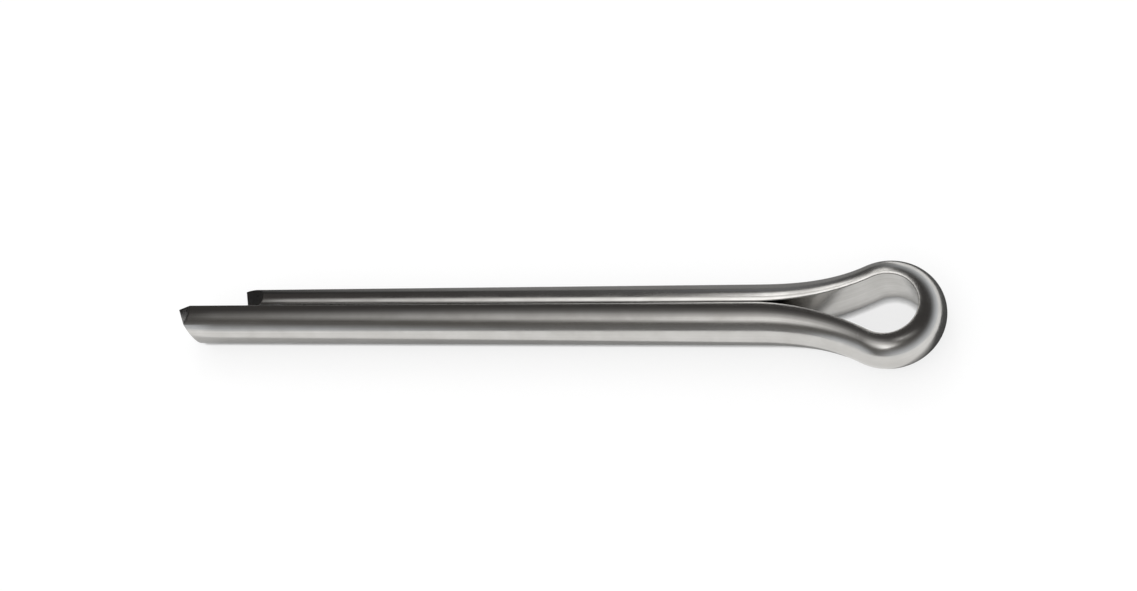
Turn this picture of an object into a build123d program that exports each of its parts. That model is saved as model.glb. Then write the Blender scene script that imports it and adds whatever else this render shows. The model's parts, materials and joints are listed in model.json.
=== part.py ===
from build123d import *
from math import asin, cos, degrees, radians, sin, sqrt, tan
import os

# A split pin, folded from one length of half-round wire with its flat side inwards.
# X is the pin's axis, with the eye at +X and the tips at -X. The loop lies in the XY plane.
# The origin is on the axis at the seat, where the eye stops against the rim of its hole.

# Shank, in millimetres: the circle round both closed legs, and their lengths from the seat
SHANK_DIAMETER = 3.7
LEG_LENGTH = 40.0
LEG_EXTENSION = 4.4
LEG_GAP = 0.04

# Wire: the rolled corner between its flat and its crown, and what bending leaves in the eye
WIRE_CORNER_RADIUS = 0.08
EYE_WIRE_WIDTH = 3.45
EYE_WIRE_THICKNESS = 1.46

# Eye and necks: seat to the eye's far end, and the bends of the wire's flat side
EYE_LENGTH = 8.0
EYE_BORE_DIAMETER = 3.84
NECK_RADIUS = 15.2
NECK_STATION_SHARES = (0, 0.25, 0.5, 0.75, 1)

# Tips: the shear's angle from square, in degrees, and the bevel that leads them into a hole,
# sized on the wire's flat and turned outwards by its skew, in degrees
SHEAR_ANGLE = 34
TIP_BEVEL_LENGTH = 1.3
TIP_BEVEL_DEPTH = 0.65
TIP_BEVEL_SKEW = 24

# Half-round wire: half of the shank's circle, less half of the gap
shank_radius = SHANK_DIAMETER / 2
flat_offset = LEG_GAP / 2
leg_wire_thickness = shank_radius - flat_offset
leg_half_width = sqrt(shank_radius**2 - flat_offset**2)
eye_half_width = EYE_WIRE_WIDTH / 2

# Eye arc about the eye's centre, measured on the wire's flat side
eye_radius = EYE_BORE_DIAMETER / 2
eye_x = EYE_LENGTH - eye_radius - EYE_WIRE_THICKNESS

# Neck arc: tangent to the leg's flat at one end and to the eye arc at the other
neck_y = flat_offset + NECK_RADIUS
neck_x = eye_x - sqrt((NECK_RADIUS + eye_radius) ** 2 - neck_y**2)
neck_turn = degrees(asin((eye_x - neck_x) / (NECK_RADIUS + eye_radius)))

# Slopes of the cuts, and the places where the two parallel shears cross the axis
shear_slope = tan(radians(SHEAR_ANGLE))
short_cut_x = shear_slope * shank_radius - LEG_LENGTH
long_cut_x = -LEG_LENGTH - LEG_EXTENSION
bevel_slope = TIP_BEVEL_LENGTH / TIP_BEVEL_DEPTH
bevel_skew_slope = tan(radians(TIP_BEVEL_SKEW))


def wire_plane(x, y, heading):
    """Plane across the wire: local x spans its flat, local y points from the flat to the crown."""
    turn = radians(heading)
    return Plane(origin=(x, y, 0), x_dir=(0, 0, 1), z_dir=(-cos(turn), -sin(turn), 0))


def wire_section(plane, half_width, thickness):
    """Half-round section with rolled corners between its flat and its crown."""
    crown = ThreePointArc((-half_width, 0), (0, thickness), (half_width, 0))
    flat = Line(crown @ 1, crown @ 0)
    profile = make_face([crown, flat])
    return plane * fillet(profile.vertices(), WIRE_CORNER_RADIUS)


def eye():
    """Open ring of drawn-down wire, from one neck round the far end to the other neck."""
    turn = radians(neck_turn)
    start = wire_plane(eye_x - eye_radius * sin(turn), eye_radius * cos(turn), neck_turn)
    section = wire_section(start, eye_half_width, EYE_WIRE_THICKNESS)
    return revolve(section, Axis((eye_x, 0, 0), (0, 0, -1)), 180 + 2 * neck_turn)


def upper_neck():
    """Reverse bend from the closed legs out to the eye, easing from the leg's wire to the eye's."""
    sections = []
    for share in NECK_STATION_SHARES:
        heading = neck_turn * share
        turn = radians(heading)
        x = neck_x + NECK_RADIUS * sin(turn)
        y = neck_y - NECK_RADIUS * cos(turn)
        eased_share = share**2 * (3 - 2 * share)
        half_width = leg_half_width + (eye_half_width - leg_half_width) * eased_share
        thickness = leg_wire_thickness + (EYE_WIRE_THICKNESS - leg_wire_thickness) * eased_share
        sections.append(wire_section(wire_plane(x, y, heading), half_width, thickness))
    path = CenterArc((neck_x, neck_y), NECK_RADIUS, -90, neck_turn)
    return sweep(sections, path, multisection=True)


def upper_leg(cut_x, side):
    """Straight leg above the split, sheared aslant towards its side, 1 or -1, and bevelled on top."""
    section = wire_section(wire_plane(neck_x, flat_offset, 0), leg_half_width, leg_wire_thickness)
    leg = extrude(section, neck_x - cut_x + SHANK_DIAMETER)
    shear = Plane(origin=(cut_x, 0, 0), z_dir=(1, side * shear_slope, 0))
    leg = split(leg, bisect_by=shear, keep=Keep.TOP)
    bevel_start = (cut_x, 0, shank_radius - TIP_BEVEL_DEPTH)
    bevel = Plane(origin=bevel_start, z_dir=(1, -bevel_skew_slope, -bevel_slope))
    return split(leg, bisect_by=bevel, keep=Keep.TOP)


def cotter_pin():
    """Whole pin: the eye, two necks, the short leg on +Y and the long leg on -Y."""
    neck = upper_neck()
    short_leg = upper_leg(short_cut_x, 1)
    long_leg = mirror(upper_leg(long_cut_x, -1), about=Plane.XZ)
    return eye() + [neck, mirror(neck, about=Plane.XZ), short_leg, long_leg]


pin = cotter_pin()
os.makedirs("parts", exist_ok=True)
export_step(pin, "parts/cotter_pin.step")
print("cotter_pin", len(pin.solids()), "solid", round(pin.volume, 2), "mm3", pin.bounding_box().size)
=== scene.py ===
# %% [markdown]
# # A cotter pin in bright drawn wire
# A cotter pin is one length of half-round steel wire, folded flat side to flat side. The fold makes a
# round eye, two necks and two legs, and one leg is longer so that a blade can part them.
# The CAD model already holds every size and place, so it is loaded first as a fixed frame. Blender
# then makes the same wire again with a finer mesh, rounded rims and a steel finish.

import json
from math import asin, atan2, cos, degrees, pi, radians, sin, sqrt, tan

import bmesh
import bpy
from mathutils import Matrix, Vector


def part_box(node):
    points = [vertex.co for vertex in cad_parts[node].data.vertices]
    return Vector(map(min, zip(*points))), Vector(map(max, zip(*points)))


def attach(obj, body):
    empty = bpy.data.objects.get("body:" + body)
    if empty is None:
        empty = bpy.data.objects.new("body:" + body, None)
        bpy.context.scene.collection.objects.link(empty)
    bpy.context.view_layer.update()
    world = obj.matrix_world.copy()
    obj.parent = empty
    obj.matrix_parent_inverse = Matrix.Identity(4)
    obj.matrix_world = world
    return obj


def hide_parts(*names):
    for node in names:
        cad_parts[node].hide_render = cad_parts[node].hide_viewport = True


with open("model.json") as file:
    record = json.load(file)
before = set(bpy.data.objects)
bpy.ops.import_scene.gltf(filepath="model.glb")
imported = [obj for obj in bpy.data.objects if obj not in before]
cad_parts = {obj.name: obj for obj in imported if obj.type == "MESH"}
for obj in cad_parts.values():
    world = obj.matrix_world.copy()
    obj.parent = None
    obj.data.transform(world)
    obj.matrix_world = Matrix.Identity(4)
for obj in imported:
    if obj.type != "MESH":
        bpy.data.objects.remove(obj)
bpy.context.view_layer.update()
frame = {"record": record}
MM = 0.001

# %% [markdown]
# ## Sizes of the wire
# Everything is in metres, with the pin's axis along X, the eye at +X and the loop lying in the XY plane.
# The shank, the eye's place and the far ends are read from the frame, so they can't drift from it.
# A wire's thickness can't be read from a box, so the maker's few working sizes are named where they are
# first needed. The wire in the eye is a little narrower than in the solid, as the photograph shows it.

# %% Sizes of the wire
LEG_GAP = 0.04 * MM
EYE_BORE_RADIUS = 1.92 * MM
EYE_WIRE_WIDTH = 3.1 * MM

lowest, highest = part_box("cotter_pin")
mounts = {mount["name"]: mount for mount in frame["record"]["mounts"]}
shank_radius = mounts["shank"]["dims"]["r_mm"] * MM
eye_x = mounts["eye"]["pos_m"][0]
eye_outer_radius = highest.x - eye_x

flat_offset = LEG_GAP / 2
leg_thickness = shank_radius - flat_offset
eye_thickness = eye_outer_radius - EYE_BORE_RADIUS
eye_thickness_share = eye_thickness / leg_thickness
eye_width_share = EYE_WIRE_WIDTH / (2 * shank_radius)
print("wire in the eye, as a share of the legs':", round(eye_thickness_share, 3), round(eye_width_share, 3))

# %% [markdown]
# ## Where the bends lie
# Each neck is an arc that leaves the leg's flat without a kink and runs into the eye's arc without a kink.
# Two arcs that touch smoothly have their centres on one line through the touching point. That gives the
# neck's centre and the angle that it turns through, with no guessing.

# %% Bend centres
NECK_RADIUS = 15.2 * MM

neck_y = flat_offset + NECK_RADIUS
bend_reach = NECK_RADIUS + EYE_BORE_RADIUS
neck_x = eye_x - sqrt(bend_reach**2 - neck_y**2)
neck_turn = asin((eye_x - neck_x) / bend_reach)
eye_turn = pi + 2 * neck_turn
print("necks start at x", round(neck_x / MM, 3), "mm and turn", round(degrees(neck_turn), 2), "degrees")

# %% [markdown]
# ## Where the cuts lie
# Both legs are sheared aslant, with parallel cuts, and a second cut bevels the top of each tip. The tips
# could be built to shape, but it is simpler to draw the wire too long and cut it, as in the workshop.
# So the slopes of the cuts come first, and with them how far a cut reaches along its leg.

# %% Cut places
SHORT_LEG_LENGTH = 40.0 * MM
SHEAR_ANGLE = radians(34)
TIP_BEVEL_LENGTH = 1.3 * MM
TIP_BEVEL_DEPTH = 0.65 * MM
TIP_BEVEL_SKEW = radians(24)

shear_slope = tan(SHEAR_ANGLE)
bevel_slope = TIP_BEVEL_LENGTH / TIP_BEVEL_DEPTH
bevel_skew_slope = tan(TIP_BEVEL_SKEW)
tip_reach = (shear_slope + bevel_skew_slope) * shank_radius + TIP_BEVEL_LENGTH
short_cut_x = shear_slope * shank_radius - SHORT_LEG_LENGTH
long_cut_x = lowest.x - shear_slope * flat_offset
print("cuts cross the axis at x", round(short_cut_x / MM, 3), "and", round(long_cut_x / MM, 3), "mm")

# %% [markdown]
# ## The wire's section
# Half-round wire is round wire that was rolled flat on one side, so its two corners are slightly rounded.
# A circle cut in half and bevelled would do, but a bevel on short edges comes out uneven. Here one
# vertex is spun three times instead: round a corner, over the crown and round the other corner. One
# edge closes the flat.
# Each point also stores its place on the wire: how far along it is, its height above the flat and its
# place across. The finish reads that later, so that drawing marks follow the wire round its bends.

# %% Spin the section
CORNER_RADIUS = 0.05 * MM
CORNER_STEPS = 8
CROWN_STEPS = 48
FLAT_CUTS = 13


def spin_point(bm, point, centre, angle, steps):
    """Spins one vertex about an axis along the wire and gives back the vertex at the arc's end."""
    spun = bmesh.ops.spin(bm, geom=[point], cent=centre, axis=(-1, 0, 0), angle=angle, steps=steps)
    return spun["geom_last"][0]


def half_round_ring(bm, x):
    """Ring of edges across the wire at x, with its flat on the split and its crown towards +Y."""
    corner_y = flat_offset + CORNER_RADIUS
    corner_z = sqrt((shank_radius - CORNER_RADIUS) ** 2 - corner_y**2)
    lift = asin(corner_y / (shank_radius - CORNER_RADIUS))
    start = bm.verts.new((x, flat_offset, corner_z))
    end = spin_point(bm, start, (x, corner_y, corner_z), pi / 2 + lift, CORNER_STEPS)
    end = spin_point(bm, end, (x, 0, 0), pi - 2 * lift, CROWN_STEPS)
    end = spin_point(bm, end, (x, corner_y, -corner_z), pi / 2 + lift, CORNER_STEPS)
    flat = bm.edges.new((end, start))
    bmesh.ops.subdivide_edges(bm, edges=[flat], cuts=FLAT_CUTS)
    return bm.edges[:]


wire = bmesh.new()
wire_place = wire.verts.layers.float_vector.new("wire_place")
wire_bend = wire.verts.layers.float.new("wire_bend")
short_start_x = short_cut_x - tip_reach
ring = half_round_ring(wire, short_start_x)
for vert in wire.verts:
    vert[wire_place] = Vector((0, vert.co.y, vert.co.z))
print("section:", len(wire.verts), "points, crown", round(max(v.co.y for v in wire.verts) / MM, 3), "mm")

# %% [markdown]
# ## The short leg
# A leg is the wire as it came from the die. A curve with a bevel object would sweep the section too, but it
# can't thin the wire where it is bent, and it twists at the reverse bends. So the ring is extruded step by
# step, and each new ring is moved by one plain transform, which is a slide along a leg.
# The tip's first stretch is one long step, because a slanted cut through many short steps leaves slivers.

# %% Draw the short leg
LEG_STEPS = 44


def draw_out(ring, move, length, bend=0.0):
    """Extrudes the ring by one step of the wire and gives back the new ring."""
    drawn = bmesh.ops.extrude_edge_only(wire, edges=ring)["geom"]
    verts = [part for part in drawn if isinstance(part, bmesh.types.BMVert)]
    bmesh.ops.transform(wire, matrix=move, verts=verts)
    for vert in verts:
        vert[wire_place] += Vector((length, 0, 0))
        vert[wire_bend] = bend
    return [part for part in drawn if isinstance(part, bmesh.types.BMEdge)]


def draw_leg(ring, start_x, end_x, steps):
    """Straight leg from start_x to end_x."""
    stride = (end_x - start_x) / steps
    for step in range(steps):
        ring = draw_out(ring, Matrix.Translation((stride, 0, 0)), abs(stride))
    return ring


ring = draw_leg(ring, short_start_x, short_cut_x + tip_reach, 1)
ring = draw_leg(ring, short_cut_x + tip_reach, neck_x, LEG_STEPS)
print("short leg:", len(wire.faces), "faces")

# %% [markdown]
# ## Its neck
# The necks are the reverse bends between the legs and the eye, and they stop the pin in its hole. Bending
# stretches the wire, so it is thinner and narrower in the eye than in the legs. One scale for the whole eye
# would leave a step, so the change starts and ends softly along the neck. At each step the ring is squeezed
# towards its flat and then turned about the bend's centre.

# %% Bend the short leg's neck
NECK_STEPS = 36


def turn_about(x, y, angle):
    """Turn about an upright line through x, y."""
    centre = Vector((x, y, 0))
    return Matrix.Translation(centre) @ Matrix.Rotation(angle, 4, "Z") @ Matrix.Translation(-centre)


def press_to(point, out, thickness_share, width_share):
    """Squeeze of the wire's thickness and width, with its flat at the point left where it is."""
    squeeze = Matrix.Scale(thickness_share, 4, out) @ Matrix.Scale(width_share, 4, Vector((0, 0, 1)))
    return Matrix.Translation(point) @ squeeze @ Matrix.Translation(-point)


def drawn_down(turn, eye_share):
    """What is left of a size of the wire where a neck has turned so far, eased at both ends."""
    share = turn / neck_turn
    eased = share * share * (3 - 2 * share)
    return 1 + (eye_share - 1) * eased


def bend_neck(ring, side, turns):
    """Neck on one side of the axis, 1 or -1, through a row of turns from the leg."""
    for turn, next_turn in zip(turns, turns[1:]):
        out = Vector((-sin(turn), side * cos(turn), 0))
        flat_point = Vector((neck_x, side * neck_y, 0)) - out * NECK_RADIUS
        thickness_step = drawn_down(next_turn, eye_thickness_share) / drawn_down(turn, eye_thickness_share)
        width_step = drawn_down(next_turn, eye_width_share) / drawn_down(turn, eye_width_share)
        press = press_to(flat_point, out, thickness_step, width_step)
        bend = turn_about(neck_x, side * neck_y, side * (next_turn - turn))
        length = NECK_RADIUS * abs(next_turn - turn)
        ring = draw_out(ring, bend @ press, length, next_turn / neck_turn)
    return ring


neck_turns = [neck_turn * step / NECK_STEPS for step in range(NECK_STEPS + 1)]
ring = bend_neck(ring, 1, neck_turns)
print("short leg and neck:", len(wire.faces), "faces")

# %% [markdown]
# ## The eye, the other neck and the long leg
# The eye is bent round a mandrel, so its inside is a true arc. The ring goes clockwise round the eye's
# centre, comes back through a mirrored neck with its turns in reverse, and runs out into the long leg.
# Mirroring the first half would be shorter, but the legs differ in length and the marks run on without a
# break, so the wire is drawn in one go.

# %% Bend the eye and draw the long leg
EYE_STEPS = 120

eye_stride = eye_turn / EYE_STEPS
eye_middle_radius = EYE_BORE_RADIUS + eye_thickness / 2
for step in range(EYE_STEPS):
    ring = draw_out(ring, turn_about(eye_x, 0, -eye_stride), eye_middle_radius * eye_stride, 1.0)
ring = bend_neck(ring, -1, neck_turns[::-1])
ring = draw_leg(ring, neck_x, long_cut_x + tip_reach, LEG_STEPS)
ring = draw_leg(ring, long_cut_x + tip_reach, long_cut_x - tip_reach, 1)
drawn_length = max(vert[wire_place].x for vert in wire.verts)
print("wire drawn:", round(drawn_length / MM, 2), "mm long,", len(wire.faces), "faces")

# %% [markdown]
# ## Sheared and bevelled tips
# Both legs are sheared aslant in one stroke, so their cuts are parallel. The bevel on top of each tip
# leads the pin into its hole. A boolean with a block would cut the tips too, but a plane leaves a cleaner
# mesh: it cuts one leg at a time, and the open rim becomes one face.

# %% Cut the tips
SHEARED = 1
CUT_TOLERANCE = 1e-8


def leg_parts(side):
    """Vertices, edges and faces of one leg: those left of the seat, on one side of the split."""
    verts = [vert for vert in wire.verts if vert.co.y * side > 0 and vert.co.x < 0]
    on_leg = set(verts)
    edges = [edge for edge in wire.edges if on_leg.issuperset(edge.verts)]
    faces = [face for face in wire.faces if on_leg.issuperset(face.verts)]
    return [*verts, *edges, *faces]


def cut_tip(side, point, normal):
    """Cuts one leg by a plane, keeps the eye's side and closes the cut with a face."""
    parts = leg_parts(side)
    cut = bmesh.ops.bisect_plane(
        wire, geom=parts, dist=CUT_TOLERANCE, plane_co=point, plane_no=normal, clear_inner=True
    )
    rim = [part for part in cut["geom_cut"] if isinstance(part, bmesh.types.BMEdge)]
    for face in bmesh.ops.contextual_create(wire, geom=rim)["faces"]:
        face.material_index = SHEARED


for side, cut_x in ((1, short_cut_x), (-1, long_cut_x)):
    cut_tip(side, Vector((cut_x, 0, 0)), Vector((1, shear_slope, 0)))
    bevel_start = Vector((cut_x, 0, shank_radius - TIP_BEVEL_DEPTH))
    cut_tip(side, bevel_start, Vector((1, -side * bevel_skew_slope, -bevel_slope)))
cut_faces = [face for face in wire.faces if face.material_index == SHEARED]
print("tips:", len(cut_faces), "cut faces")

# %% [markdown]
# ## Rolled rims
# A real sheared rim is never a knife edge: the blade rolls it over. A Bevel modifier would find these edges
# by their angle, and might take others. The cuts are known here, so one bmesh bevel takes just their rims.

# %% Round the rims
RIM_RADIUS = 0.06 * MM
RIM_SEGMENTS = 3

on_rims = {edge for face in cut_faces for edge in face.edges}
rims = [edge for edge in wire.edges if edge in on_rims]
print("rims:", len(rims), "edges to round by", round(RIM_RADIUS / MM, 3), "mm")
bmesh.ops.bevel(
    wire,
    geom=rims,
    offset=RIM_RADIUS,
    segments=RIM_SEGMENTS,
    profile=0.5,
    affect="EDGES",
    material=-1,
)

# %% [markdown]
# ## From bmesh to a piece
# Doubled points are merged and the faces turned outwards, because the sweep and the cuts don't promise
# that. Everything is shaded smooth, and a Weighted Normal modifier lets the large faces win at each rim.
# So the cuts look flat and the wire's sides stay true right up to their rounded rims.
# The piece then rides on the part's one body, and the CAD solid is hidden in its place.

# %% Make the piece
MERGE_DISTANCE = 1e-7
scene = bpy.context.scene


def object_from(bm, name):
    """Makes an object from a bmesh, puts it in the scene and frees the bmesh."""
    made = bpy.data.objects.new(name, bpy.data.meshes.new(name))
    scene.collection.objects.link(made)
    bm.to_mesh(made.data)
    bm.free()
    return made


bmesh.ops.remove_doubles(wire, verts=wire.verts[:], dist=MERGE_DISTANCE)
bmesh.ops.recalc_face_normals(wire, faces=wire.faces[:])
for face in wire.faces:
    face.smooth = True
open_edges = [edge for edge in wire.edges if len(edge.link_faces) != 2]
print("open edges:", len(open_edges), "volume in mm3:", round(wire.calc_volume() / MM**3, 2))

folded_wire = object_from(wire, "folded_wire")
weighted = folded_wire.modifiers.new("large_faces_win", "WEIGHTED_NORMAL")
weighted.mode = "FACE_AREA"
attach(folded_wire, "root")
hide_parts("cotter_pin")
print("folded_wire:", len(folded_wire.data.vertices), "points,", len(folded_wire.data.polygons), "faces")

# %% [markdown]
# ## Tool lines
# A tool that slides along metal leaves fine lines, both on the drawn wire and on the sheared ends. A wave
# texture would give lines too, but all alike. Noise that is stretched along one axis gives lines that
# start, end and differ. It is a node group, so that both finishes share it with values of their own. It
# takes a place in metres and sizes in millimetres.

# %% Node group for tool lines
PER_METRE = 1000.0


def add(tree, kind, label="", **values):
    """Adds a node and sets the inputs that are given by name."""
    made = tree.nodes.new(kind)
    made.label = label
    for name, value in values.items():
        made.inputs[name.replace("_", " ")].default_value = value
    return made


def combine(tree, operation, first, second):
    """Adds a Math node. Each operand is a socket to link or a number to set."""
    made = tree.nodes.new("ShaderNodeMath")
    made.operation = operation
    for socket, operand in zip(made.inputs, (first, second)):
        if isinstance(operand, bpy.types.NodeSocket):
            tree.links.new(operand, socket)
        else:
            socket.default_value = operand
    return made.outputs["Value"]


def new_group(name, inputs, output):
    """Starts a node group with a Place input, named number inputs and one number output."""
    group = bpy.data.node_groups.new(name, "ShaderNodeTree")
    group.interface.new_socket("Place", in_out="INPUT", socket_type="NodeSocketVector")
    for socket in inputs:
        group.interface.new_socket(socket, in_out="INPUT", socket_type="NodeSocketFloat")
    group.interface.new_socket(output, in_out="OUTPUT", socket_type="NodeSocketFloat")
    return group, group.nodes.new("NodeGroupInput"), group.nodes.new("NodeGroupOutput")


def make_tool_lines():
    """Lines along the first axis of a place, with a width and a length in millimetres."""
    group, given, result = new_group("tool_lines", ("Line Width", "Line Length"), "Lines")
    scale = add(group, "ShaderNodeCombineXYZ", "lines per metre")
    across = combine(group, "DIVIDE", PER_METRE, given.outputs["Line Width"])
    along = combine(group, "DIVIDE", PER_METRE, given.outputs["Line Length"])
    group.links.new(along, scale.inputs["X"])
    group.links.new(across, scale.inputs["Y"])
    group.links.new(across, scale.inputs["Z"])
    stretch = add(group, "ShaderNodeVectorMath", "stretched place")
    stretch.operation = "MULTIPLY"
    group.links.new(given.outputs["Place"], stretch.inputs[0])
    group.links.new(scale.outputs["Vector"], stretch.inputs[1])
    noise = add(group, "ShaderNodeTexNoise", "lines", Scale=1.0, Detail=3.0, Roughness=0.6)
    group.links.new(stretch.outputs["Vector"], noise.inputs["Vector"])
    group.links.new(noise.outputs["Fac"], result.inputs["Lines"])
    return group


tool_lines = make_tool_lines()
print("node group:", tool_lines.name, "with", len(tool_lines.nodes), "nodes")

# %% [markdown]
# ## Handling mottle
# Metal that has been rolled and handled is never quite one tone. Painted patches would need an image, so
# plain soft noise does it, again as a group that both finishes share.

# %% Node group for handling mottle
def make_handling_mottle():
    """Soft patches of tone, with a size in millimetres."""
    group, given, result = new_group("handling_mottle", ("Patch Size",), "Mottle")
    scale = combine(group, "DIVIDE", PER_METRE, given.outputs["Patch Size"])
    noise = add(group, "ShaderNodeTexNoise", "patches", Detail=4.0, Roughness=0.55)
    group.links.new(given.outputs["Place"], noise.inputs["Vector"])
    group.links.new(scale, noise.inputs["Scale"])
    group.links.new(noise.outputs["Fac"], result.inputs["Mottle"])
    return group


handling_mottle = make_handling_mottle()
print("node group:", handling_mottle.name, "with", len(handling_mottle.nodes), "nodes")

# %% [markdown]
# ## Bright drawn steel
# The wire was pulled through a die, which burnishes it and leaves faint lines along its length. On the
# real pin those lines follow the wire round the eye, so a pattern on plain Object coordinates would cut
# across it. This finish reads the place that the sweep stored, and so the lines bend with the wire.

# %% Start the drawn steel and lay its marks along the wire
LINE_WIDTH = 0.11
LINE_LENGTH = 28.0
HAIRLINE_WIDTH = 0.035
HAIRLINE_LENGTH = 7.0
PATCH_SIZE = 1.7


def new_steel(name):
    """Starts a metal material and gives it back with its tree and its Principled shader."""
    material = bpy.data.materials.new(name)
    material.use_nodes = True
    shader = material.node_tree.nodes["Principled BSDF"]
    shader.inputs["Metallic"].default_value = 1.0
    return material, material.node_tree, shader


def place_group(tree, group, place, **values):
    """Places a node group, gives it a place on the metal and sets its values."""
    made = add(tree, "ShaderNodeGroup")
    made.node_tree = group
    tree.links.new(place, made.inputs["Place"])
    for name, value in values.items():
        made.inputs[name.replace("_", " ")].default_value = value
    return made.outputs[0]


drawn_steel, drawn_tree, drawn_shader = new_steel("bright_drawn_steel")
folded_wire.data.materials.append(drawn_steel)
stored_place = add(drawn_tree, "ShaderNodeAttribute", "place on the wire")
stored_place.attribute_name = "wire_place"
on_wire = stored_place.outputs["Vector"]
lines = place_group(drawn_tree, tool_lines, on_wire, Line_Width=LINE_WIDTH, Line_Length=LINE_LENGTH)
hairs = place_group(drawn_tree, tool_lines, on_wire, Line_Width=HAIRLINE_WIDTH, Line_Length=HAIRLINE_LENGTH)
mottle = place_group(drawn_tree, handling_mottle, on_wire, Patch_Size=PATCH_SIZE)
print("drawn steel: lines", LINE_WIDTH, "mm, hairlines", HAIRLINE_WIDTH, "mm, patches", PATCH_SIZE, "mm")

# %% [markdown]
# ## Its tone
# Bare steel is a light, slightly warm grey, and a little darker where hands and tools have been. One flat
# colour would look like plastic, so the lines and the patches blend two close tones, half from each.

# %% Tone of the drawn wire
BRIGHT_STEEL = (0.64, 0.63, 0.61, 1.0)
HANDLED_STEEL = (0.52, 0.505, 0.48, 1.0)
NOISE_LOW = 0.3
NOISE_HIGH = 0.7
HALF = 0.5


def ranged(tree, value, low, high, label):
    """Maps the middle of a noise, where most of it lies, to a range."""
    made = add(tree, "ShaderNodeMapRange", label, From_Min=NOISE_LOW, From_Max=NOISE_HIGH)
    made.inputs["To Min"].default_value = low
    made.inputs["To Max"].default_value = high
    tree.links.new(value, made.inputs["Value"])
    return made.outputs["Result"]


def half_of_each(tree, first, second):
    """Adds two noises up to a share from 0 to 1, half from each."""
    first_half = ranged(tree, first, 0.0, HALF, "first half")
    second_half = ranged(tree, second, 0.0, HALF, "second half")
    return combine(tree, "ADD", first_half, second_half)


def blend_colours(tree, share, first, second, label):
    """Adds a colour Mix node. Each colour is a socket to link or a colour to set."""
    made = add(tree, "ShaderNodeMix", label)
    made.data_type = "RGBA"
    tree.links.new(share, made.inputs["Factor"])
    colour_sockets = [socket for socket in made.inputs if socket.type == "RGBA"]
    for socket, colour in zip(colour_sockets, (first, second)):
        if isinstance(colour, bpy.types.NodeSocket):
            tree.links.new(colour, socket)
        else:
            socket.default_value = colour
    return next(socket for socket in made.outputs if socket.type == "RGBA")


clean = half_of_each(drawn_tree, lines, mottle)
steel_tone = blend_colours(drawn_tree, clean, HANDLED_STEEL, BRIGHT_STEEL, "tone")
drawn_tree.links.new(steel_tone, drawn_shader.inputs["Base Color"])
print("drawn steel: tone from", HANDLED_STEEL[:3], "to", BRIGHT_STEEL[:3])

# %% [markdown]
# ## Its gloss
# The die leaves the wire almost mirror-bright, and duller in patches and along the hairlines. The eye's
# surface was stretched when it was bent, so it is a little rougher there. A second material for the eye
# would show a seam, so the bend that the sweep stored brings that roughness in along the necks.

# %% Roughness of the drawn wire
HANDLED_ROUGHNESS = 0.19
BRIGHT_ROUGHNESS = 0.12
HAIRLINE_ROUGHNESS = 0.06
STRETCHED_ROUGHNESS = 0.08
PEEL_SIZE = 0.22

stored_bend = add(drawn_tree, "ShaderNodeAttribute", "bend of the wire")
stored_bend.attribute_name = "wire_bend"
peel = place_group(drawn_tree, handling_mottle, on_wire, Patch_Size=PEEL_SIZE)
bent_peel = combine(drawn_tree, "MULTIPLY", peel, stored_bend.outputs["Fac"])

handled = ranged(drawn_tree, mottle, HANDLED_ROUGHNESS, BRIGHT_ROUGHNESS, "handled to bright")
worn = combine(drawn_tree, "ADD", handled, ranged(drawn_tree, hairs, 0.0, HAIRLINE_ROUGHNESS, "hairlines"))
stretched = combine(drawn_tree, "MULTIPLY", bent_peel, STRETCHED_ROUGHNESS)
drawn_tree.links.new(combine(drawn_tree, "ADD", worn, stretched), drawn_shader.inputs["Roughness"])
print("drawn steel: roughness from", BRIGHT_ROUGHNESS, "to", HANDLED_ROUGHNESS, "before its hairlines")

# %% [markdown]
# ## Its relief
# The lines are about a thousandth of a millimetre deep, and the wire is never quite straight: long, shallow
# waves make its reflections wander. Moving the mesh by so little would need millions of faces, so a Bump
# node does it. Its distance is the real depth in metres.

# %% Relief of the drawn wire
LINE_DEPTH = 0.0012 * MM
HAIRLINE_SHARE = 0.35
WAVE_SIZE = 6.0
WAVE_SHARE = 8.0


def raise_bump(tree, shader, height, depth):
    """Surface relief of a real depth."""
    bump = add(tree, "ShaderNodeBump", "relief", Strength=1.0, Distance=depth)
    tree.links.new(height, bump.inputs["Height"])
    tree.links.new(bump.outputs["Normal"], shader.inputs["Normal"])


waves = place_group(drawn_tree, handling_mottle, on_wire, Patch_Size=WAVE_SIZE)
relief = combine(drawn_tree, "ADD", lines, combine(drawn_tree, "MULTIPLY", hairs, HAIRLINE_SHARE))
relief = combine(drawn_tree, "ADD", relief, combine(drawn_tree, "MULTIPLY", waves, WAVE_SHARE))
raise_bump(drawn_tree, drawn_shader, combine(drawn_tree, "ADD", relief, bent_peel), LINE_DEPTH)
print("drawn steel:", len(drawn_tree.nodes), "nodes")

# %% [markdown]
# ## Sheared ends
# A shear doesn't polish like a die. It scores the metal along its stroke and tears the last of it, so the
# cut ends are duller and greyer than the wire. The cut is flat, so Object coordinates suit it. A Mapping
# node turns them until the first axis lies along the stroke.

# %% Material of the sheared ends
FRESH_CUT = (0.36, 0.352, 0.344, 1.0)
TORN_CUT = (0.2, 0.195, 0.188, 1.0)
SCORE_WIDTH = 0.09
SCORE_LENGTH = 1.4
TEAR_SIZE = 0.25
SCORE_DEPTH = 0.006 * MM
TORN_ROUGHNESS = 0.4
FRESH_ROUGHNESS = 0.26


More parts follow.
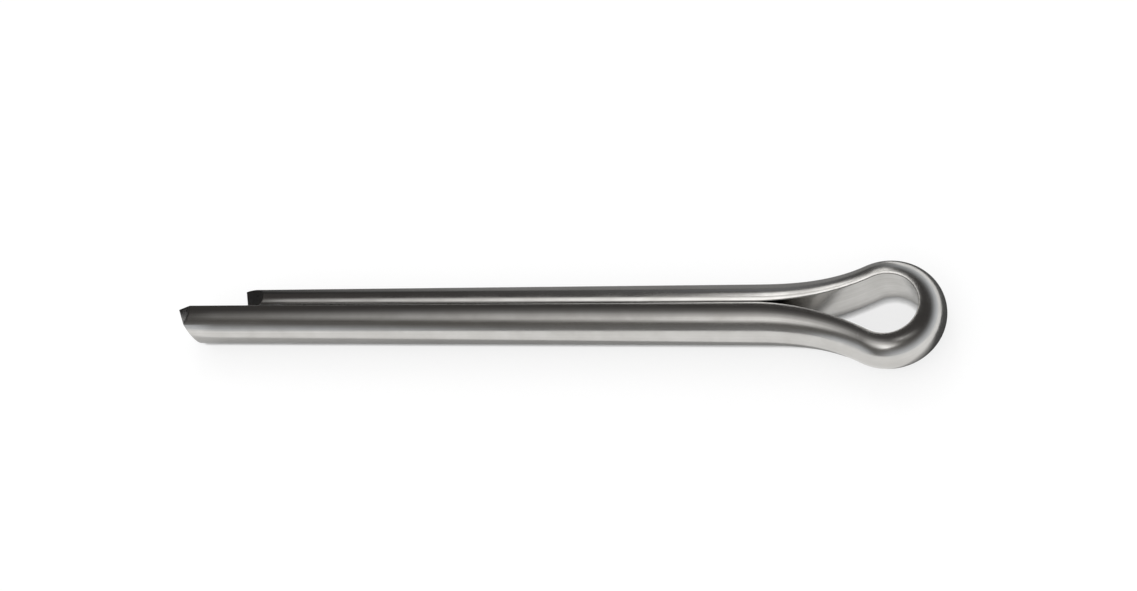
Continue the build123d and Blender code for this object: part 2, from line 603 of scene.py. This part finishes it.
def make_sheared_steel():
    """Cut metal, scored along the slant of the shear."""
    material, tree, shader = new_steel("sheared_steel")
    coordinates = add(tree, "ShaderNodeTexCoord")
    turned = add(tree, "ShaderNodeMapping", "along the stroke", Rotation=(0, 0, pi / 2 - SHEAR_ANGLE))
    tree.links.new(coordinates.outputs["Object"], turned.inputs["Vector"])
    place = turned.outputs["Vector"]
    scores = place_group(tree, tool_lines, place, Line_Width=SCORE_WIDTH, Line_Length=SCORE_LENGTH)
    tears = place_group(tree, handling_mottle, place, Patch_Size=TEAR_SIZE)
    tone = blend_colours(tree, half_of_each(tree, scores, tears), TORN_CUT, FRESH_CUT, "tone")
    tree.links.new(tone, shader.inputs["Base Color"])
    roughness = ranged(tree, tears, TORN_ROUGHNESS, FRESH_ROUGHNESS, "torn to fresh")
    tree.links.new(roughness, shader.inputs["Roughness"])
    raise_bump(tree, shader, combine(tree, "ADD", scores, tears), SCORE_DEPTH)
    return material


sheared_steel = make_sheared_steel()
folded_wire.data.materials.append(sheared_steel)
print("sheared ends:", len(sheared_steel.node_tree.nodes), "nodes")

# %% [markdown]
# ## The floor
# The pin lies on a plain pale sheet. The sheet is lit like any other surface, and so it keeps the pin's
# shadow. A glow of its own brings it to the white of the page. That glow is for rays from the camera, from
# shiny metal and through glass alone, so that it adds no light to matt surfaces. An Ambient Occlusion node
# dims the glow close under the wire as painted shade, which draws the dark line where the wire meets the
# sheet.

# %% Floor
FLOOR_SIZE = 3.0
FLOOR_PALE = (0.3, 0.3, 0.3, 1.0)
PAGE_WHITE = (1.0, 1.0, 1.0, 1.0)
FLOOR_GLOW = 0.72
# Painted contact shade: how far the glow is dimmed under the wire, for the camera and for the metal, and
# how steeply.
CONTACT_SEEN = 0.45 * MM
CONTACT_MIRRORED = 0.6 * MM
CONTACT_SHADE_DEPTH = 4.0
CONTACT_SAMPLES = 4


def new_paper(name):
    """Starts a matt material and gives it back with its tree and its Principled shader."""
    material = bpy.data.materials.new(name)
    material.use_nodes = True
    shader = material.node_tree.nodes["Principled BSDF"]
    shader.inputs["Roughness"].default_value = 1.0
    shader.inputs["Specular IOR Level"].default_value = 0.0
    return material, material.node_tree, shader


def make_white_sheet():
    """White paper that shows as page white to the camera and to the metal, with painted shade close under
    the wire.
    """
    material, tree, shader = new_paper("white_sheet")
    shader.inputs["Base Color"].default_value = FLOOR_PALE
    path = add(tree, "ShaderNodeLightPath")
    seen = combine(tree, "MAXIMUM", path.outputs["Is Camera Ray"], path.outputs["Is Glossy Ray"])
    seen = combine(tree, "MAXIMUM", seen, path.outputs["Is Transmission Ray"])
    reach = add(tree, "ShaderNodeMapRange", "reach", To_Min=CONTACT_SEEN, To_Max=CONTACT_MIRRORED)
    tree.links.new(path.outputs["Is Glossy Ray"], reach.inputs["Value"])
    uncovered = add(tree, "ShaderNodeAmbientOcclusion", "not under the wire")
    uncovered.samples = CONTACT_SAMPLES
    tree.links.new(reach.outputs["Result"], uncovered.inputs["Distance"])
    # Painted contact shade: the glow fades where the wire covers the sheet.
    painted_contact_shade = combine(tree, "POWER", uncovered.outputs["AO"], CONTACT_SHADE_DEPTH)
    glow = combine(tree, "MULTIPLY", combine(tree, "MULTIPLY", seen, painted_contact_shade), FLOOR_GLOW)
    shader.inputs["Emission Color"].default_value = PAGE_WHITE
    tree.links.new(glow, shader.inputs["Emission Strength"])
    return material


floor_mesh = bmesh.new()
bmesh.ops.create_grid(floor_mesh, x_segments=1, y_segments=1, size=FLOOR_SIZE)
bmesh.ops.translate(floor_mesh, vec=(0, 0, lowest.z), verts=floor_mesh.verts[:])
floor = object_from(floor_mesh, "floor")
floor.data.materials.append(make_white_sheet())
print("floor at z", round(lowest.z / MM, 3), "mm")

# %% [markdown]
# ## A soft panel behind the pin
# Polished wire has hardly any look of its own: it shows the room. A panel behind the pin draws the bright
# stripe on the upper leg. A glowing plane would show as well, but an area lamp gives less noise.
# It lies on the ceiling, a little askew to the pin. It fades from one end to the other, and so the stripe
# fades towards the tips. Its long edges are soft, like cloth on a frame.

# %% Far panel
CEILING = 0.25
PANEL_MIDDLE = 0.5


def shade_panel(lamp, edge, fade):
    """Lets a lamp fade along its length and softens its long edges over a share of its width."""
    lamp.use_nodes = True
    tree = lamp.node_tree
    place = add(tree, "ShaderNodeNewGeometry")
    split = add(tree, "ShaderNodeSeparateXYZ")
    tree.links.new(place.outputs["Parametric"], split.inputs["Vector"])
    along = combine(tree, "POWER", split.outputs["X"], fade)
    from_edge = combine(tree, "PINGPONG", split.outputs["Y"], PANEL_MIDDLE)
    across = add(tree, "ShaderNodeMapRange", "soft edge", From_Max=edge)
    across.interpolation_type = "SMOOTHSTEP"
    tree.links.new(from_edge, across.inputs["Value"])
    shine = combine(tree, "MULTIPLY", along, across.outputs["Result"])
    tree.links.new(shine, tree.nodes["Emission"].inputs["Strength"])


def soft_panel(name, bright_end, dim_end, width, edge, radiance, fade):
    """Area lamp on the ceiling that fades from its bright end to its dim end, with soft long edges."""
    run = Vector(bright_end) - Vector(dim_end)
    middle = (Vector(bright_end) + Vector(dim_end)) / 2
    lamp = bpy.data.lights.new(name, "AREA")
    lamp.shape = "RECTANGLE"
    lamp.size = run.length
    lamp.size_y = width
    lamp.energy = pi * run.length * width * radiance
    shade_panel(lamp, edge, fade)
    panel = bpy.data.objects.new(name, lamp)
    scene.collection.objects.link(panel)
    panel.location = (middle.x, middle.y, CEILING)
    panel.rotation_euler = (0, 0, atan2(run.y, run.x))
    panel.visible_camera = False
    return panel


far_panel = soft_panel(
    "far_panel",
    bright_end=(-0.02, 0.152),
    dim_end=(-0.4, 0.36),
    width=0.16,
    edge=0.3,
    radiance=2.3,
    fade=1.7,
)
print("panel:", far_panel.name, round(far_panel.data.energy, 3), "W")

# %% [markdown]
# ## The other panels
# A weaker panel by the camera draws the grey stripe on the lower leg, and the dark ceiling between the two
# draws the black line. A third, across the pin, draws the broad gleam on the far neck, and a faint small
# one lightens the near side of the eye. One large panel would give one wide stripe, so there are four.

# %% Near, neck and eye panels
near_panel = soft_panel(
    "near_panel",
    bright_end=(0.005, -0.3),
    dim_end=(-0.225, -0.012),
    width=0.31,
    edge=0.5,
    radiance=2.0,
    fade=1.5,
)
neck_panel = soft_panel(
    "neck_panel",
    bright_end=(-0.06, 0.2),
    dim_end=(-0.134, 0.58),
    width=0.078,
    edge=0.4,
    radiance=2.7,
    fade=0.5,
)
eye_panel = soft_panel(
    "eye_panel",
    bright_end=(-0.02, -0.095),
    dim_end=(0.22, -0.08),
    width=0.1,
    edge=0.5,
    radiance=1.1,
    fade=1.3,
)
for panel in (near_panel, neck_panel, eye_panel):
    print("panel:", panel.name, round(panel.data.energy, 3), "W")

# %% [markdown]
# ## Painted shade behind the pin
# A shiny thing on white paper loses its edges, because its sides show the paper. Dark paper laid close to
# it paints shade into the metal's reflections and draws the edges dark again. A darker steel would lose its
# shine.
# One sheet of painted shade lies behind the pin, black by the tips and grey by the eye. It is hidden from
# the camera and casts no shadow, so it shows in the metal alone.

# %% Painted shade sheet
SHEET_SIZE = FLOOR_SIZE
SHEET_EDGE = Vector((3, 3.6, 0)) * MM
# Painted shade: the tones that the metal reflects from the sheet, black by the tips and grey by the necks.
SHEET_SHADE_BLACK = (0.03, 0.03, 0.03, 1.0)
SHEET_SHADE_GREY = (0.26, 0.26, 0.26, 1.0)
BY_THE_TIPS = -48 * MM
BY_THE_NECKS = -24 * MM
PAPER_LIFT = 0.02 * MM


def make_painted_shade_paper(name, axis, first_at, last_at, first, last):
    """Matt paper that goes from a first tone to a last one between two places on an axis."""
    material, tree, shader = new_paper(name)
    split = add(tree, "ShaderNodeSeparateXYZ")
    tree.links.new(add(tree, "ShaderNodeTexCoord").outputs["Object"], split.inputs["Vector"])
    along = add(tree, "ShaderNodeMapRange", "along the paper", From_Min=first_at, From_Max=last_at)
    tree.links.new(split.outputs[axis], along.inputs["Value"])
    tone = blend_colours(tree, along.outputs["Result"], first, last, "tone")
    tree.links.new(tone, shader.inputs["Base Color"])
    return material


def lay_shade_paper(name, paper, material):
    """Lays a piece of painted-shade paper on the floor that only the metal can see."""
    bmesh.ops.translate(paper, vec=(0, 0, lowest.z + PAPER_LIFT), verts=paper.verts[:])
    laid = object_from(paper, name)
    laid.data.materials.append(material)
    laid.visible_camera = False
    laid.visible_diffuse = False
    laid.visible_shadow = False
    return laid


sheet = bmesh.new()
bmesh.ops.create_grid(sheet, x_segments=1, y_segments=1, size=SHEET_SIZE / 2)
sheet_middle = SHEET_EDGE + Vector((-SHEET_SIZE / 2, SHEET_SIZE / 2, 0))
bmesh.ops.translate(sheet, vec=sheet_middle, verts=sheet.verts[:])
sheet_shade_paper = make_painted_shade_paper("sheet_shade_paper", "X", BY_THE_TIPS, BY_THE_NECKS, SHEET_SHADE_BLACK, SHEET_SHADE_GREY)
painted_shade_sheet = lay_shade_paper("painted_shade_sheet", sheet, sheet_shade_paper)
print("dark paper:", painted_shade_sheet.name)

# %% [markdown]
# ## A collar of painted shade beside the eye
# The eye's edge is darker than the necks', so it has darker paper of its own: painted shade that only the
# metal shows. A ring between two circles fits round it: one lies under the eye's wire, and a larger one
# lies beyond it. The ring stops where the sheet begins, and fades to white in front of the eye, because a
# hard edge would show in the wire.

# %% Eye collar
COLLAR_MIDDLE = Vector((8.2, 3.0, 0)) * MM
COLLAR_RADIUS = 7.0 * MM
COLLAR_SEGMENTS = 64
# Painted shade: the collar is white in front of the eye and dark beyond it, as the metal reflects it.
COLLAR_SHADE_DARK = (0.1, 0.1, 0.1, 1.0)
WHITE_BEFORE = -4.6 * MM
DARK_BEYOND = -2.2 * MM


def trim_paper(paper, point, normal):
    """Cuts paper along a line through a point and keeps the side that the normal points to."""
    whole = [*paper.verts, *paper.edges, *paper.faces]
    bmesh.ops.bisect_plane(paper, geom=whole, plane_co=point, plane_no=normal, clear_inner=True)


collar = bmesh.new()
for middle, radius in ((Vector((eye_x, 0, 0)), eye_middle_radius), (COLLAR_MIDDLE, COLLAR_RADIUS)):
    place = Matrix.Translation(middle)
    bmesh.ops.create_circle(collar, segments=COLLAR_SEGMENTS, radius=radius, matrix=place)
bmesh.ops.bridge_loops(collar, edges=collar.edges[:])
trim_paper(collar, SHEET_EDGE, (1, 0, 0))
collar_shade_paper = make_painted_shade_paper("collar_shade_paper", "Y", WHITE_BEFORE, DARK_BEYOND, PAGE_WHITE, COLLAR_SHADE_DARK)
eye_shade_collar = lay_shade_paper("eye_shade_collar", collar, collar_shade_paper)
print("dark paper:", eye_shade_collar.name, "with", len(eye_shade_collar.data.polygons), "faces")

# %% [markdown]
# ## A strip of painted shade under the near leg
# The near leg's lower edge is a soft grey, so the paper there is paler than the sheet behind. A strip that
# lies a little askew under the leg paints that grey shade into the metal's reflection. It stops short of
# the gap between the necks, where its end would show on the eye's wall.

# %% Near strip
STRIP_MIDDLE = Vector((-28.2, -2.34, 0)) * MM
STRIP_SIZE = Vector((60, 3.4, 1)) * MM
STRIP_TURN = radians(3.0)
STRIP_EDGE = Vector((0, -1, 0)) * MM
# Painted shade: the tones that the metal reflects from the strip, paler by the tips and greyer by the
# necks.
STRIP_SHADE_PALE = (0.68, 0.68, 0.68, 1.0)
STRIP_SHADE_GREY = (0.5, 0.5, 0.5, 1.0)
UNIT_SIDE = 1.0

strip = bmesh.new()
bmesh.ops.create_grid(strip, x_segments=1, y_segments=1, size=UNIT_SIDE / 2)
strip_turned = Matrix.Rotation(STRIP_TURN, 4, "Z") @ Matrix.Diagonal((*STRIP_SIZE, 1))
strip_place = Matrix.Translation(STRIP_MIDDLE) @ strip_turned
bmesh.ops.transform(strip, matrix=strip_place, verts=strip.verts[:])
trim_paper(strip, STRIP_EDGE, (0, -1, 0))
strip_shade_paper = make_painted_shade_paper("strip_shade_paper", "X", BY_THE_TIPS, BY_THE_NECKS, STRIP_SHADE_PALE, STRIP_SHADE_GREY)
near_shade_strip = lay_shade_paper("near_shade_strip", strip, strip_shade_paper)
print("grey paper:", near_shade_strip.name)

# %% [markdown]
# ## The room
# Beyond the panels the room is dark, with a faint warm tone, and a little lighter on the camera's side. Low
# down it is pale where its windows are: a wide one beyond the eye and a narrow one beside the tips. Built
# walls would do, but a world that looks at a ray's direction is simpler and has no edges. Matt surfaces get
# one even fill instead of this pattern, at a level at which a colour shows about as it is written.

# %% World
ROOM_DARK = (0.053, 0.05, 0.049, 1.0)
ROOM_BY_CAMERA = (0.125, 0.119, 0.112, 1.0)
WINDOW_PALE = (0.75, 0.78, 0.82, 1.0)
MATT_FILL = (0.86, 0.86, 0.86, 1.0)
TOWARDS_EYE = (1.0, 0.0, 0.0)
TOWARDS_CAMERA = (0.0, -1.0, 0.0)
PAST_THE_TIPS = (-0.8, -0.6, 0.0)
UPWARDS = (0.0, 0.0, 1.0)


def share_towards(tree, direction, towards, none_at, all_at):
    """Share from 0 to 1 as a direction leans towards a side of the room."""
    lean = add(tree, "ShaderNodeVectorMath")
    lean.operation = "DOT_PRODUCT"
    tree.links.new(direction, lean.inputs[0])
    lean.inputs[1].default_value = towards
    share = add(tree, "ShaderNodeMapRange", From_Min=none_at, From_Max=all_at)
    share.interpolation_type = "SMOOTHSTEP"
    tree.links.new(lean.outputs["Value"], share.inputs["Value"])
    return share.outputs["Result"]


def make_room():
    """Dark room with low windows, as seen by shiny metal, and an even fill for matt surfaces."""
    world = bpy.data.worlds.new("studio_room")
    world.use_nodes = True
    tree = world.node_tree
    direction = add(tree, "ShaderNodeTexCoord").outputs["Generated"]
    low = share_towards(tree, direction, UPWARDS, none_at=0.65, all_at=0.0)
    beyond_eye = share_towards(tree, direction, TOWARDS_EYE, none_at=-0.48, all_at=0.35)
    beside_tips = share_towards(tree, direction, PAST_THE_TIPS, none_at=0.82, all_at=0.97)
    windows = combine(tree, "MULTIPLY", low, combine(tree, "MAXIMUM", beyond_eye, beside_tips))
    by_camera = share_towards(tree, direction, TOWARDS_CAMERA, none_at=0.0, all_at=0.9)
    walls = blend_colours(tree, by_camera, ROOM_DARK, ROOM_BY_CAMERA, "walls")
    shown = blend_colours(tree, windows, walls, WINDOW_PALE, "windows")
    path = add(tree, "ShaderNodeLightPath")
    light = blend_colours(tree, path.outputs["Is Diffuse Ray"], shown, MATT_FILL, "fill for matt surfaces")
    tree.links.new(light, tree.nodes["Background"].inputs["Color"])
    return world


scene.world = make_room()
scene.view_settings.view_transform = "Standard"
print("world:", scene.world.name, "with", len(scene.world.node_tree.nodes), "nodes")

# %% [markdown]
# ## The camera
# The photograph looks down on the pin from its eye's end, close enough for the legs to taper in the
# picture. A Track To constraint would aim the camera too, but the pin's axis has to lie level in the
# picture. So the camera's own axes are worked out from its place, its aim and the pin's axis, and a slight
# roll is added.

# %% Camera
CAMERA_PLACE = Vector((18.62, -39.25, 80.29)) * MM
CAMERA_AIM = Vector((-15.83, 1.43, 0.0)) * MM
CAMERA_ROLL = radians(-0.5)
CAMERA_LENS = 47.49
CLIP_START = 1 * MM
PIN_AXIS = Vector((1, 0, 0))

back = (CAMERA_PLACE - CAMERA_AIM).normalized()
right = (PIN_AXIS - back * PIN_AXIS.dot(back)).normalized()
level = Matrix((right, back.cross(right), back)).transposed()
camera = bpy.data.objects.new("camera", bpy.data.cameras.new("camera"))
scene.collection.objects.link(camera)
camera.location = CAMERA_PLACE
camera.rotation_euler = (level @ Matrix.Rotation(CAMERA_ROLL, 3, "Z")).to_euler()
camera.data.lens = CAMERA_LENS
camera.data.clip_start = CLIP_START
scene.camera = camera
print("camera:", round((CAMERA_PLACE - CAMERA_AIM).length / MM, 1), "mm from its aim")
